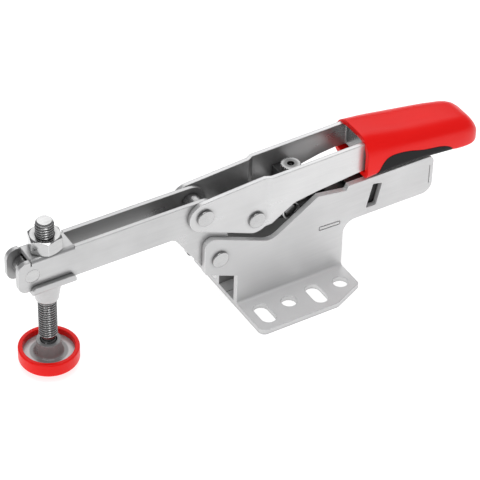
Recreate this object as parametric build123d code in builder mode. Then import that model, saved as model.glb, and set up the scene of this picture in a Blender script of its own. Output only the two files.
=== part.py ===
"""Horizontal toggle clamp with an open folded arm and a spring-loaded slide.

Frame: +X runs from the pressure pad towards the grip, +Y across the clamp,
+Z up.  The origin is the centre of the four round fixing holes, on the
underside of the base flanges.  Sizes are millimetres.  Lengths named "station"
are measured along X from the front edge of the flanges.
"""

import os
from math import hypot, sqrt

from build123d import *

# ---------------------------------------------------------------- fits
running_fit = 0.05  # radial, pin in a hole that turns on it
seat_fit = 0.02  # radial, pin in a hole that does not turn on it
layer_gap = 0.1  # between sheet parts that pass each other
thread_fit = 0.05  # radial, plain bore around a plain thread cylinder
reach_through = 30.0  # half length of a cut that goes right through
tall_reach = 100.0  # a height above every part, for cuts and limits in plan

# ---------------------------------------------------------------- base sides
base_length = 53.5
base_width = 60.0
base_sheet = 2.5
front_corner_radius = 3.0
rear_chamfer_length = 14.9
rear_chamfer_width = 6.8
base_bend_radius = 1.5
tab_length = 9.0
tab_gap = 0.1
bolt_hole_dia = 7.0
bolt_slot_length = 13.0
bolt_pitch = 26.3
slot_station = 7.4
hole_station = 20.55
slot_offset = 20.1
hole_offset = 18.6

ear_station = -16.1
ear_foot = 18.1
ear_slope = 0.42
ear_top = 44.5
ear_top_radius = 3.9
ear_bottom_radius = 2.5
notch_radius = 0.8
valley_station = 16.8
valley_floor = 30.6
valley_radius = 7.8
rise_station = 39.7
rise_top = 45.8
recess_station = 54.2
recess_floor = 43.5
tail_station = 55.1
tail_top = 45.7
tail_end_station = 99.4
tail_bottom = 26.2
tail_top_radius = 3.0
tail_bottom_radius = 5.0
tail_root_radius = 6.0
crease_radius = 0.4
window = [(67.8, 41.9), (72.6, 40.8), (70.1, 29.7), (64.8, 29.8)]
window_radius = 0.6
mark = [(40.7, 28.6), (51.8, 28.1), (51.8, 25.9), (40.7, 26.3)]
mark_radius = 0.9
mark_groove = 0.5
mark_depth = 0.5
index_mark = [(97.6, 41.0), (97.6, 31.2)]
index_middle = (97.6, 36.1)

# ---------------------------------------------------------------- pivots
pivot_a = (-8.8, 31.2)  # arm on the base
pivot_b = (-16.05, 55.95)  # handle on the arm
pivot_c = (9.1, 45.1)  # link on the handle
pivot_d = (28.3, 40.3)  # link foot in the slide
pin_radius = 3.0
foot_pin_radius = 2.5
pin_head_radius = 3.85
pin_head_height = 1.3
pin_head_edge = 0.4
spacer_radius = 4.4

# ---------------------------------------------------------------- arm
arm_gap = 8.2
arm_sheet = 2.0
arm_top = 62.8
arm_depth = 15.0
arm_end_radius = 6.85
arm_foot_radius = 7.8
knee_station = -29.4
knee_radius = 4.0
ear_end_station = -101.5
arm_ear_top_radius = 4.5
arm_ear_bottom_radius = 4.0
web_front_station = -95.4
web_rear_station = -75.5
web_fold_radius = 1.9
relief_width = 0.6
relief_depth = 2.3
front_rivet = (-94.9, 55.3)
front_rivet_radius = 3.2
front_spacer_radius = 4.2

# ---------------------------------------------------------------- spindle set
spindle_station = -86.0
spindle_radius = 4.0
spindle_top = 76.5
spindle_chamfer = 0.9
thread_end = 15.5
neck_radius = 2.7
ball_radius = 4.2
ball_height = 10.4
socket_radius = 4.35
socket_mouth_radius = 3.6
nut_flats = 13.0
nut_height = 6.8
nut_turn = 15.0
nut_chamfer = 0.8
nut_chamfer_run = 1.5
nut_corner_spare = 0.2
clip_length = 19.7
clip_sheet = 1.8
clip_half_width = 8.1
clip_side_top = 49.9
clip_end_radius = 1.8
boss_top_radius = 6.5
boss_bottom_radius = 4.95
boss_bottom = 36.2
disc_radius = 11.1
disc_bottom = 4.9
disc_thickness = 1.7
collar_foot_radius = 7.0
collar_radius = 5.3
collar_top = 13.2
cap_radius = 13.0
cap_bottom = 2.9
cap_top = 9.5
cap_lip = 0.15
cap_lip_radius = 0.3
cap_edge_radius = 1.2

# ---------------------------------------------------------------- handle frame
handle_sheet = 2.0
handle_front_radius = 7.2
handle_link_radius = 7.1
handle_joggle = 1.4
joggle_station = 13.5
joggle_radius = 1.5
joggle_length = 2.5
handle_top_front = (13.5, 65.2)
handle_top_rear = (64.5, 66.2)
handle_web_station = 65.5
handle_fold_radius = 3.0
handle_under = [(64.6, 52.6), (37.8, 49.8), (27.0, 48.1)]
handle_left_under = [(66.0, 54.6), (57.9, 54.9), (50.3, 54.1), (39.4, 51.8), (34.0, 48.9)]
tang_half_width = 5.0
tang_bottom = 57.0
tang_sheet = 2.0
tang_station = 100.0

# ---------------------------------------------------------------- link
link_inner = 1.8
link_sheet = 1.5
link_upper_radius = 5.5
link_foot_radius = 5.2
link_spacer_radius = 4.2
link_pin_half_length = 4.6
link_spring_reach = 5.8
link_spring_radius = 3.9
link_spring_wire = 0.4
link_spring_turns = 1.9

# ---------------------------------------------------------------- slide
slot_front_station = 21.4
slot_rear_station = 41.5
slot_height = 40.7
slot_radius = 3.2
tongue_half_width = 1.5
tongue_station = 20.6
tongue_rim = 2.2
tongue_corner_radius = 2.0
slide_station = 46.0
slide_end_station = 78.0
slide_half_width = 6.0
slide_top = 43.3
slide_bottom = 30.6
slide_edge = 0.8
slide_fit = 0.1
guide_station = 55.4
guide_end_station = 97.0
guide_top = 45.4
guide_bottom = 26.6
guide_back_station = 91.0
slide_spring_radius = 4.0
slide_spring_wire = 0.6
slide_spring_turns = 5

# ---------------------------------------------------------------- force screw
block_station = 26.0
block_length = 9.0
block_bottom = 50.6
block_top = 57.2
screw_station = 30.5
screw_radius = 2.95
screw_tip = 49.0
screw_head_radius = 4.4
screw_head_bottom = 58.8
screw_head_top = 62.8
screw_socket_flats = 3.0
screw_socket_depth = 2.2

screw_spring_radius = 3.7
screw_spring_wire = 0.35
screw_tip_chamfer = 0.6
screw_spring_turns = 1.2

# ---------------------------------------------------------------- grip
# station, underside, top, half width, top corner radius, lower corner radius
grip_sections = [
    (61.5, 49.0, 69.0, 13.1, 8.5, 2.0),
    (66.0, 49.3, 68.4, 13.1, 8.7, 2.2),
    (70.5, 49.6, 67.6, 13.2, 8.9, 2.4),
    (75.0, 49.8, 66.8, 13.2, 9.0, 2.5),
    (81.5, 49.6, 65.6, 13.1, 9.0, 2.8),
    (88.0, 49.2, 64.5, 13.0, 9.0, 3.0),
    (94.0, 48.6, 63.6, 12.8, 9.0, 3.0),
    (100.0, 47.9, 62.7, 12.6, 9.0, 3.0),
    (105.0, 47.3, 61.9, 12.4, 8.5, 3.0),
    (110.0, 46.6, 60.9, 12.1, 8.0, 3.0),
    (114.0, 46.0, 59.7, 11.7, 7.3, 2.9),
    (118.0, 45.4, 57.9, 11.0, 6.5, 2.8),
    (121.0, 45.1, 55.9, 10.1, 5.5, 2.6),
    (124.0, 45.0, 53.2, 8.6, 4.1, 2.2),
    (126.2, 45.2, 50.6, 6.8, 2.6, 1.8),
    (127.3, 45.8, 48.6, 4.8, 1.3, 1.1),
]
grip_wall = 2.4
mouth_half_width = 10.8
mouth_top = 66.4
mouth_radius = 2.0
core_station = 67.2
core_sections = 12
seam = [
    (63.0, 40.0),
    (65.9, 48.0),
    (68.1, 52.9),
    (71.4, 57.3),
    (77.4, 58.0),
    (84.8, 56.5),
    (90.3, 54.8),
    (102.2, 52.1),
    (107.2, 48.5),
    (108.6, 40.0),
]

# ---------------------------------------------------------------- worked-out places
front = -(hole_station + bolt_pitch / 2)
rear = front + base_length
arm_inner = arm_gap / 2
arm_outer = arm_inner + arm_sheet
plate_inner = arm_outer + layer_gap
base_outer = plate_inner + base_sheet
handle_outer = plate_inner + handle_sheet
handle_rear_inner = plate_inner + handle_joggle
handle_rear_outer = handle_rear_inner + handle_sheet
arm_bottom = arm_top - arm_depth
clip_top = arm_bottom
slide_spring_height = (slide_top + slide_bottom) / 2
clip_bottom = clip_top - clip_sheet
nut_top = arm_top + nut_height
link_outer = link_inner + link_sheet

os.makedirs("parts", exist_ok=True)


def at(point):
    """Station and height to X and Z."""
    return (point[0] + front, point[1])


def table(points):
    """A list of station and height pairs to X and Z."""
    return [at(point) for point in points]


def upright(y):
    """Upright plane at Y with local x on X and local y on Z; extrudes towards -Y."""
    return Plane((0, y, 0), x_dir=(1, 0, 0), z_dir=(0, -1, 0))


def level(z):
    """Level plane at the given height."""
    return Plane.XY.offset(z)


def crosswise(x):
    """Plane square to X at a station, local x on Y and local y on Z."""
    return Plane((x + front, 0, 0), x_dir=(0, 1, 0), z_dir=(1, 0, 0))


def tangent_points(c0, r0, c1, r1, side):
    """Ends of the outer tangent of two circles, left (+1) or right (-1) of c0 to c1."""
    run, rise = c1[0] - c0[0], c1[1] - c0[1]
    span = hypot(run, rise)
    lean = (r0 - r1) / span
    square = side * sqrt(1 - lean * lean)
    nx = (run * lean - rise * square) / span
    nz = (rise * lean + run * square) / span
    return (c0[0] + r0 * nx, c0[1] + r0 * nz), (c1[0] + r1 * nx, c1[1] + r1 * nz)


def strap(c0, r0, c1, r1):
    """Strap outline in the open sketch: two circles and their outer tangents."""
    left = tangent_points(c0, r0, c1, r1, 1)
    right = tangent_points(c0, r0, c1, r1, -1)
    polygon([left[0], left[1], right[1], right[0]])
    with Locations(c0):
        Circle(r0)
    with Locations(c1):
        Circle(r1)


def polygon(points, mode=Mode.ADD):
    """Straight-sided face in the open sketch."""
    with BuildLine(Plane.XY, mode=Mode.PRIVATE) as edge_loop:
        Polyline(*points, close=True)
    make_face(edge_loop.edges(), mode=mode)


def rounded(corners, mode=Mode.ADD):
    """Face in the open sketch from (point, radius) corners."""
    points = [point for point, radius in corners]
    radii = [radius for point, radius in corners]
    with BuildLine(Plane.XY, mode=Mode.PRIVATE) as edge_loop:
        FilletPolyline(*points, radius=radii, close=True)
    make_face(edge_loop.edges(), mode=mode)


def save(piece, name):
    """Label a finished piece and write it to its own file."""
    piece.label = name
    export_step(piece, f"parts/{name}.step")


# ---------------------------------------------------------------- base sides
side_corners = [
    (at((0, 0)), 0),
    (at((0, ear_foot)), notch_radius),
    (at((ear_station, ear_foot - ear_slope * ear_station)), ear_bottom_radius),
    (at((ear_station, ear_top)), ear_top_radius),
    (at((valley_station, valley_floor)), valley_radius),
    (at((rise_station, rise_top)), crease_radius),
    (at((recess_station, recess_floor)), crease_radius),
    (at((tail_station, tail_top)), crease_radius),
    (at((tail_end_station, tail_top)), tail_top_radius),
    (at((tail_end_station, tail_bottom)), tail_bottom_radius),
    (at((base_length, tail_bottom)), tail_root_radius),
    (at((base_length, 0)), 0),
]

with BuildPart() as base_side_right:
    with BuildSketch(upright(-plate_inner)):
        rounded(side_corners)
        with Locations(at(pivot_a)):
            Circle(pin_radius + seat_fit, mode=Mode.SUBTRACT)
        rounded([(p, window_radius) for p in table(window)], mode=Mode.SUBTRACT)
    extrude(amount=base_sheet)
    with BuildSketch(Plane.XY):
        rounded(
            [
                ((front, -tab_gap), 0),
                ((front, -base_width / 2), front_corner_radius),
                ((rear - rear_chamfer_length, -base_width / 2), front_corner_radius),
                ((rear, rear_chamfer_width - base_width / 2), 1.0),
                ((rear, -plate_inner), 0),
                ((front + tab_length, -plate_inner), 0),
                ((front + tab_length, -tab_gap), 0),
            ]
        )
        for step in (0, 1):
            with Locations((front + hole_station + step * bolt_pitch, -hole_offset)):
                Circle(bolt_hole_dia / 2, mode=Mode.SUBTRACT)
            with Locations((front + slot_station + step * bolt_pitch, -slot_offset)):
                SlotOverall(bolt_slot_length, bolt_hole_dia, rotation=90, mode=Mode.SUBTRACT)
    extrude(amount=base_sheet)
    inside_bend = base_side_right.edges().filter_by(Axis.X).filter_by(
        lambda edge: abs(edge.center().Y + base_outer) < 0.01 and abs(edge.center().Z - base_sheet) < 0.01
    )
    fillet(inside_bend, base_bend_radius)
    with BuildSketch(upright(-base_outer)):
        rounded([(p, mark_radius) for p in table(mark)])
        offset(amount=-mark_groove, mode=Mode.SUBTRACT)
        with Locations(at(index_middle)):
            Rectangle(mark_groove, index_mark[0][1] - index_mark[1][1])
    extrude(amount=-mark_depth, mode=Mode.SUBTRACT)
save(base_side_right.part, "base_side_right")

with BuildPart() as base_side_left:
    add(base_side_right.part.mirror(Plane.XZ))
save(base_side_left.part, "base_side_left")

# ---------------------------------------------------------------- arm
foot_front = tangent_points(at(pivot_a), arm_foot_radius, at((knee_station, arm_bottom)), 0.01, 1)[0]

with BuildPart() as arm:
    with BuildSketch(upright(arm_outer)):
        strap(at(pivot_b), arm_end_radius, at(pivot_a), arm_foot_radius)
        rounded(
            [
                (at((ear_end_station, arm_bottom)), arm_ear_bottom_radius),
                (at((ear_end_station, arm_top)), arm_ear_top_radius),
                (at((pivot_b[0], arm_top)), 0),
                (at(pivot_b), 0),
                (at(pivot_a), 0),
                (foot_front, 0),
                (at((knee_station, arm_bottom)), knee_radius),
            ]
        )
        for pivot in (pivot_a, pivot_b):
            with Locations(at(pivot)):
                Circle(pin_radius + (running_fit if pivot is pivot_a else seat_fit), mode=Mode.SUBTRACT)
        with Locations(at(front_rivet)):
            Circle(front_rivet_radius + seat_fit, mode=Mode.SUBTRACT)
        with Locations(at((web_front_station, arm_top - relief_depth / 2 + 1))):
            Rectangle(relief_width, relief_depth + 2, mode=Mode.SUBTRACT)
    extrude(amount=arm_outer * 2)
    with BuildSketch(upright(arm_inner)):
        with Locations(at(((ear_end_station + pivot_a[0]) / 2, arm_top))):
            Rectangle((pivot_a[0] - ear_end_station) * 1.5, arm_top * 2)
    extrude(amount=arm_gap, mode=Mode.SUBTRACT)
    web_start = web_front_station + relief_width / 2
    web_middle = (web_start + web_rear_station) / 2
    web_length = web_rear_station - web_start
    with BuildSketch(level(arm_top)):
        with Locations((web_middle + front, 0)):
            Rectangle(web_length, arm_outer * 2)
    extrude(amount=-arm_sheet)
    with BuildSketch(crosswise(web_start)):
        for side in (-1, 1):
            rounded(
                [
                    ((side * (arm_outer + 1), arm_top - web_fold_radius), 0),
                    ((side * arm_outer, arm_top - web_fold_radius), 0),
                    ((side * arm_outer, arm_top), web_fold_radius - 0.01),
                    ((side * (arm_outer - web_fold_radius), arm_top), 0),
                    ((side * (arm_outer - web_fold_radius), arm_top + 1), 0),
                    ((side * (arm_outer + 1), arm_top + 1), 0),
                ]
            )
    extrude(amount=web_length, mode=Mode.SUBTRACT)
    with BuildSketch(level(arm_top)):
        with Locations((spindle_station + front, 0)):
            Circle(spindle_radius + thread_fit)
    extrude(amount=-arm_sheet, mode=Mode.SUBTRACT)
save(arm.part, "arm")


def round_bar(radius, half_length, centre, name, bore=0.0):
    """Bar or tube along Y, centred on the clamp."""
    with BuildPart() as bar:
        with BuildSketch(upright(half_length)):
            with Locations(at(centre)):
                Circle(radius)
                if bore:
                    Circle(bore, mode=Mode.SUBTRACT)
        extrude(amount=half_length * 2)
    save(bar.part, name)
    return bar


def headed_pin(radius, plate_face, centre, name):
    """Pin along Y with a low rounded head closed against each outer plate face."""
    with BuildPart() as pin:
        with BuildSketch(upright(plate_face)):
            with Locations(at(centre)):
                Circle(radius)
        extrude(amount=plate_face * 2)
        with BuildSketch(upright(plate_face + pin_head_height)):
            with Locations(at(centre)):
                Circle(pin_head_radius)
        extrude(amount=pin_head_height)
        with BuildSketch(upright(-plate_face)):
            with Locations(at(centre)):
                Circle(pin_head_radius)
        extrude(amount=pin_head_height)
        rims = pin.edges().filter_by(GeomType.CIRCLE).filter_by(
            lambda edge: abs(abs(edge.center().Y) - plate_face - pin_head_height) < 0.01
        )
        fillet(rims, pin_head_edge)
    save(pin.part, name)
    return pin


arm_pivot_pin = headed_pin(pin_radius, base_outer, pivot_a, "arm_pivot_pin")
handle_pivot_pin = headed_pin(pin_radius, handle_outer, pivot_b, "handle_pivot_pin")
link_pivot_pin = headed_pin(pin_radius, handle_outer, pivot_c, "link_pivot_pin")
arm_pivot_spacer = round_bar(spacer_radius, arm_inner - seat_fit, pivot_a, "arm_pivot_spacer", pin_radius + running_fit)
handle_pivot_spacer = round_bar(
    spacer_radius, arm_inner - seat_fit, pivot_b, "handle_pivot_spacer", pin_radius + running_fit
)
arm_front_rivet = round_bar(front_rivet_radius, arm_outer, front_rivet, "arm_front_rivet")
arm_front_spacer = round_bar(
    front_spacer_radius, arm_inner - seat_fit, front_rivet, "arm_front_spacer", front_rivet_radius + seat_fit
)

# ---------------------------------------------------------------- spindle set
with BuildPart() as spindle:
    with BuildSketch(Plane((spindle_station + front, 0, 0), x_dir=(1, 0, 0), z_dir=(0, -1, 0))):
        with BuildLine():
            Polyline(
                (0, ball_height),
                (0, spindle_top),
                (spindle_radius - spindle_chamfer, spindle_top),
                (spindle_radius, spindle_top - spindle_chamfer),
                (spindle_radius, thread_end + spindle_chamfer),
                (spindle_radius - spindle_chamfer, thread_end),
                (neck_radius, thread_end),
                (neck_radius, ball_height),
                close=True,
            )
        make_face()
    revolve(axis=Axis((spindle_station + front, 0, 0), (0, 0, 1)))
    with Locations((spindle_station + front, 0, ball_height)):
        Sphere(ball_radius)
save(spindle.part, "spindle")

with BuildPart() as spindle_nut:
    with BuildSketch(level(arm_top)):
        with Locations((spindle_station + front, 0)):
            RegularPolygon(nut_flats / 2, 6, major_radius=False, rotation=nut_turn)
            Circle(spindle_radius + thread_fit, mode=Mode.SUBTRACT)
    extrude(amount=nut_height)
    with BuildSketch(Plane((spindle_station + front, 0, 0), x_dir=(1, 0, 0), z_dir=(0, -1, 0))):
        with BuildLine():
            reach = nut_flats / sqrt(3) + nut_corner_spare
            Polyline(
                (0, arm_top),
                (reach - nut_chamfer_run, arm_top),
                (reach, arm_top + nut_chamfer),
                (reach, nut_top - nut_chamfer),
                (reach - nut_chamfer_run, nut_top),
                (0, nut_top),
                close=True,
            )
        make_face()
    revolve(axis=Axis((spindle_station + front, 0, 0), (0, 0, 1)), mode=Mode.INTERSECT)
save(spindle_nut.part, "spindle_nut")

with BuildPart() as flanged_nut:
    with BuildSketch(level(clip_top)):
        with Locations((spindle_station + front, 0)):
            Rectangle(clip_length, clip_half_width * 2)
    extrude(amount=-clip_sheet)
    for side in (-1, 1):
        lip_inner = arm_outer + layer_gap * 2
        with BuildSketch(upright(clip_half_width if side > 0 else -lip_inner)):
            rounded(
                [
                    (at((spindle_station - clip_length / 2, clip_bottom)), 0),
                    (at((spindle_station - clip_length / 2, clip_side_top)), clip_end_radius),
                    (at((spindle_station + clip_length / 2, clip_side_top)), clip_end_radius),
                    (at((spindle_station + clip_length / 2, clip_bottom)), 0),
                ]
            )
        extrude(amount=clip_half_width - lip_inner)
    low_edges = flanged_nut.edges().filter_by(Axis.X).filter_by(
        lambda edge: abs(edge.center().Z - clip_bottom) < 0.01
    )
    fillet(low_edges, clip_sheet * 0.8)
    with BuildSketch(Plane((spindle_station + front, 0, 0), x_dir=(1, 0, 0), z_dir=(0, -1, 0))):
        with BuildLine():
            Polyline(
                (0, clip_bottom),
                (boss_top_radius, clip_bottom),
                (boss_bottom_radius, boss_bottom),
                (0, boss_bottom),
                close=True,
            )
        make_face()
    revolve(axis=Axis((spindle_station + front, 0, 0), (0, 0, 1)))
    with BuildSketch(level(clip_top)):
        with Locations((spindle_station + front, 0)):
            Circle(spindle_radius + thread_fit)
    extrude(amount=boss_bottom - clip_top, mode=Mode.SUBTRACT)
save(flanged_nut.part, "flanged_nut")

with BuildPart() as pressure_plate:
    with BuildSketch(Plane((spindle_station + front, 0, 0), x_dir=(1, 0, 0), z_dir=(0, -1, 0))):
        with BuildLine():
            disc_top = disc_bottom + disc_thickness
            Polyline(
                (0, disc_bottom),
                (disc_radius, disc_bottom),
                (disc_radius, disc_top),
                (collar_foot_radius, disc_top),
            )
            Spline(
                (collar_foot_radius, disc_top),
                (collar_radius + 0.2, disc_top + 1.9),
                (collar_radius, collar_top),
                tangents=[(-1, 0), (0, 1)],
            )
            Polyline((collar_radius, collar_top), (0, collar_top), (0, disc_bottom))
        make_face()
    revolve(axis=Axis((spindle_station + front, 0, 0), (0, 0, 1)))
    with Locations((spindle_station + front, 0, ball_height)):
        Sphere(socket_radius, mode=Mode.SUBTRACT)
    with BuildSketch(level(ball_height)):
        with Locations((spindle_station + front, 0)):
            Circle(socket_mouth_radius)
    extrude(amount=collar_top - ball_height, mode=Mode.SUBTRACT)
save(pressure_plate.part, "pressure_plate")

with BuildPart() as pad_cap:
    with BuildSketch(Plane((spindle_station + front, 0, 0), x_dir=(1, 0, 0), z_dir=(0, -1, 0))):
        cap_inside = disc_radius + seat_fit
        cap_shelf = disc_bottom + disc_thickness + seat_fit
        rounded(
            [
                ((0, cap_bottom), 0),
                ((cap_radius, cap_bottom), cap_edge_radius),
                ((cap_radius, cap_top), cap_edge_radius / 2),
                ((cap_inside - cap_lip, cap_top), cap_lip_radius),
                ((cap_inside - cap_lip, cap_shelf), 0),
                ((cap_inside, cap_shelf), 0),
                ((cap_inside, disc_bottom), 0),
                ((0, disc_bottom), 0),
            ]
        )
    revolve(axis=Axis((spindle_station + front, 0, 0), (0, 0, 1)))
save(pad_cap.part, "pad_cap")

# ---------------------------------------------------------------- handle frame
joggle_end = joggle_station + joggle_length
strip_front = pivot_b[0] - handle_front_radius - 1
strip = [
    ((strip_front, plate_inner), 0),
    ((strip_front, handle_outer), 0),
    ((joggle_station, handle_outer), joggle_radius),
    ((joggle_end, handle_rear_outer), joggle_radius),
    ((handle_web_station, handle_rear_outer), handle_fold_radius),
    ((handle_web_station, -handle_rear_outer), handle_fold_radius),
    ((joggle_end, -handle_rear_outer), joggle_radius),
    ((joggle_station, -handle_outer), joggle_radius),
    ((strip_front, -handle_outer), 0),
    ((strip_front, -plate_inner), 0),
    ((joggle_station, -plate_inner), joggle_radius),
    ((joggle_end, -handle_rear_inner), joggle_radius),
    ((handle_web_station - handle_sheet, -handle_rear_inner), handle_fold_radius - handle_sheet),
    ((handle_web_station - handle_sheet, handle_rear_inner), handle_fold_radius - handle_sheet),
    ((joggle_end, handle_rear_inner), joggle_radius),
    ((joggle_station, plate_inner), joggle_radius),
]
brow = tangent_points(at(handle_top_front), 0.01, at(pivot_b), handle_front_radius, -1)[1]
chin = tangent_points(at(pivot_c), handle_link_radius, at(handle_under[-1]), 0.01, -1)[0]

with BuildPart() as handle_frame:
    with BuildSketch(upright(handle_rear_outer)):
        strap(at(pivot_b), handle_front_radius, at(pivot_c), handle_link_radius)
        polygon(
            [at(pivot_b), brow, at(handle_top_front), at(handle_top_rear)]
            + [at((handle_web_station, handle_top_rear[1]))]
            + [at((handle_web_station, handle_under[0][1]))]
            + table(handle_under)
            + [chin, at(pivot_c)]
        )
        with Locations(at(pivot_b)):
            Circle(pin_radius + running_fit, mode=Mode.SUBTRACT)
        with Locations(at(pivot_c)):
            Circle(pin_radius + seat_fit, mode=Mode.SUBTRACT)
    extrude(amount=handle_rear_outer * 2)
    with BuildSketch(level(0)):
        rounded([((s + front, y), r) for (s, y), r in strip])
    extrude(amount=tall_reach, mode=Mode.INTERSECT)
    with BuildSketch(upright(handle_rear_outer)):
        polygon(table(handle_left_under + [(34.0, 40.0), (66.0, 40.0)]))
    extrude(amount=handle_rear_outer + handle_rear_inner, mode=Mode.SUBTRACT)
    with BuildSketch(level(tang_bottom)):
        with Locations(((handle_web_station + tang_station) / 2 - 0.5 + front, 0)):
            Rectangle(tang_station - handle_web_station + 1, tang_half_width * 2)
    extrude(amount=tang_sheet)
save(handle_frame.part, "handle_frame")

# ---------------------------------------------------------------- link between handle and slide
with BuildPart() as link_plates:
    for side in (-1, 1):
        with BuildSketch(upright(link_outer if side > 0 else -link_inner)):
            strap(at(pivot_c), link_upper_radius, at(pivot_d), link_foot_radius)
            with Locations(at(pivot_c)):
                Circle(pin_radius + running_fit, mode=Mode.SUBTRACT)
            with Locations(at(pivot_d)):
                Circle(foot_pin_radius + seat_fit, mode=Mode.SUBTRACT)
        extrude(amount=link_sheet)
save(link_plates.part, "link_plates")

with BuildPart() as link_pivot_spacers:
    for side in (-1, 1):
        with BuildSketch(upright(arm_outer if side > 0 else -link_outer - layer_gap)):
            with Locations(at(pivot_c)):
                Circle(link_spacer_radius)
                Circle(pin_radius + running_fit, mode=Mode.SUBTRACT)
        extrude(amount=arm_outer - link_outer - layer_gap)
save(link_pivot_spacers.part, "link_pivot_spacers")

link_foot_pin = round_bar(foot_pin_radius, link_pin_half_length, pivot_d, "link_foot_pin")


def coil(origin, direction, radius, wire, length, turns):
    """Closed round wire wound as a helix from origin along direction."""
    with BuildPart() as winding:
        with BuildLine() as path:
            Helix(length / turns, length, radius, center=origin, direction=direction)
        with BuildSketch(Plane(origin=path.line @ 0, z_dir=path.line % 0)):
            Circle(wire)
        sweep()
    return winding.part


spring_start = link_outer + layer_gap + link_spring_wire
spring_length = link_spring_reach - spring_start - link_spring_wire
foot = at(pivot_d)
right_start = (foot[0], -spring_start, foot[1])
right_coil = coil(right_start, (0, -1, 0), link_spring_radius, link_spring_wire, spring_length, link_spring_turns)
with BuildPart() as link_springs:
    add(right_coil)
    add(right_coil.mirror(Plane.XZ))
save(link_springs.part, "link_springs")

# ---------------------------------------------------------------- slide in the tail
with BuildPart() as wedge_slide:
    with BuildSketch(upright(tongue_half_width)):
        tongue_low = slot_height - slot_radius - tongue_rim
        tongue_high = slot_height + slot_radius + tongue_rim
        rounded(
            [
                (at((tongue_station, tongue_low)), tongue_corner_radius),
                (at((tongue_station, tongue_high)), tongue_corner_radius),
                (at((slide_station, tongue_high)), 0),
                (at((slide_station + tongue_rim, slide_top)), 0),
                (at((slide_station + tongue_rim, tongue_low)), 0),
            ]
        )
        slot_middle = (slot_front_station + slot_rear_station) / 2
        with Locations(at((slot_middle, slot_height))):
            SlotOverall(slot_rear_station - slot_front_station, slot_radius * 2, mode=Mode.SUBTRACT)
    extrude(amount=tongue_half_width * 2)
    with BuildSketch(upright(slide_half_width)):
        rounded(
            [
                (at((slide_station, slide_bottom)), slide_edge),
                (at((slide_station, slide_top)), slide_edge),
                (at((slide_end_station, slide_top)), slide_edge),
                (at((slide_end_station, slide_bottom)), slide_edge),
            ]
        )
    extrude(amount=slide_half_width * 2)
save(wedge_slide.part, "wedge_slide")

with BuildPart() as wedge_guide:
    guide_half = plate_inner - seat_fit
    with BuildSketch(upright(guide_half)):
        tunnel_top = slide_top + slide_fit
        tunnel_bottom = slide_bottom - slide_fit
        polygon(
            table(
                [
                    (guide_station, guide_bottom),
                    (guide_station, tunnel_bottom),
                    (guide_back_station, tunnel_bottom),
                    (guide_back_station, tunnel_top),
                    (guide_station, tunnel_top),
                    (guide_station, guide_top),
                    (guide_end_station, guide_top),
                    (guide_end_station, guide_bottom),
                ]
            )
        )
    extrude(amount=guide_half * 2)
save(wedge_guide.part, "wedge_guide")

spring_room = guide_back_station - slide_end_station - slide_spring_wire * 2 - seat_fit * 2
slide_spring_start = (slide_end_station + slide_spring_wire + seat_fit + front, 0, slide_spring_height)
slide_spring = coil(
    slide_spring_start, (1, 0, 0), slide_spring_radius, slide_spring_wire, spring_room, slide_spring_turns
)
save(slide_spring, "slide_spring")

# ---------------------------------------------------------------- force screw in the handle
with BuildPart() as adjuster_block:
    with BuildSketch(level(block_bottom)):
        with Locations((block_station + block_length / 2 + front, 0)):
            Rectangle(block_length, (handle_rear_inner - seat_fit) * 2)
        with Locations((screw_station + front, 0)):
            Circle(screw_radius + thread_fit, mode=Mode.SUBTRACT)
    extrude(amount=block_top - block_bottom)
save(adjuster_block.part, "adjuster_block")

with BuildPart() as adjusting_screw:
    with BuildSketch(level(screw_tip)):
        with Locations((screw_station + front, 0)):
            Circle(screw_radius)
    extrude(amount=screw_head_bottom - screw_tip)
    chamfer(adjusting_screw.faces().sort_by(Axis.Z)[0].edges(), screw_tip_chamfer)
    with BuildSketch(level(screw_head_bottom)):
        with Locations((screw_station + front, 0)):
            Circle(screw_head_radius)
    extrude(amount=screw_head_top - screw_head_bottom)
    chamfer(adjusting_screw.faces().sort_by(Axis.Z)[-1].edges(), 0.5)
    with BuildSketch(level(screw_head_top)):
        with Locations((screw_station + front, 0)):
            RegularPolygon(screw_socket_flats / 2, 6, major_radius=False)
    extrude(amount=-screw_socket_depth, mode=Mode.SUBTRACT)
save(adjusting_screw.part, "adjusting_screw")

screw_spring_room = screw_head_bottom - block_top - screw_spring_wire * 2 - seat_fit * 2
screw_spring_start = (screw_station + front, 0, block_top + screw_spring_wire + seat_fit)
screw_spring = coil(
    screw_spring_start, (0, 0, 1), screw_spring_radius, screw_spring_wire, screw_spring_room, screw_spring_turns
)
save(screw_spring, "screw_spring")


# ---------------------------------------------------------------- grip
def grip_loft(sections, wall):
    """Rounded boxy body through the sections, drawn in by the wall."""
    with BuildPart() as body:
        for station, under, over, half, top_radius, low_radius in sections:
            with BuildSketch(crosswise(station)):
                rounded(
                    [
                        ((-half + wall, under + wall), max(low_radius - wall, 0.4)),
                        ((half - wall, under + wall), max(low_radius - wall, 0.4)),
                        ((half - wall, over - wall), max(top_radius - wall, 0.4)),
                        ((-half + wall, over - wall), max(top_radius - wall, 0.4)),
                    ]
                )
        loft()
    return body.part


grip_length = grip_sections[-1][0] - grip_sections[0][0]
grip_outside = grip_loft(grip_sections, 0)
grip_inside = grip_loft(grip_sections[:core_sections], grip_wall)

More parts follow.
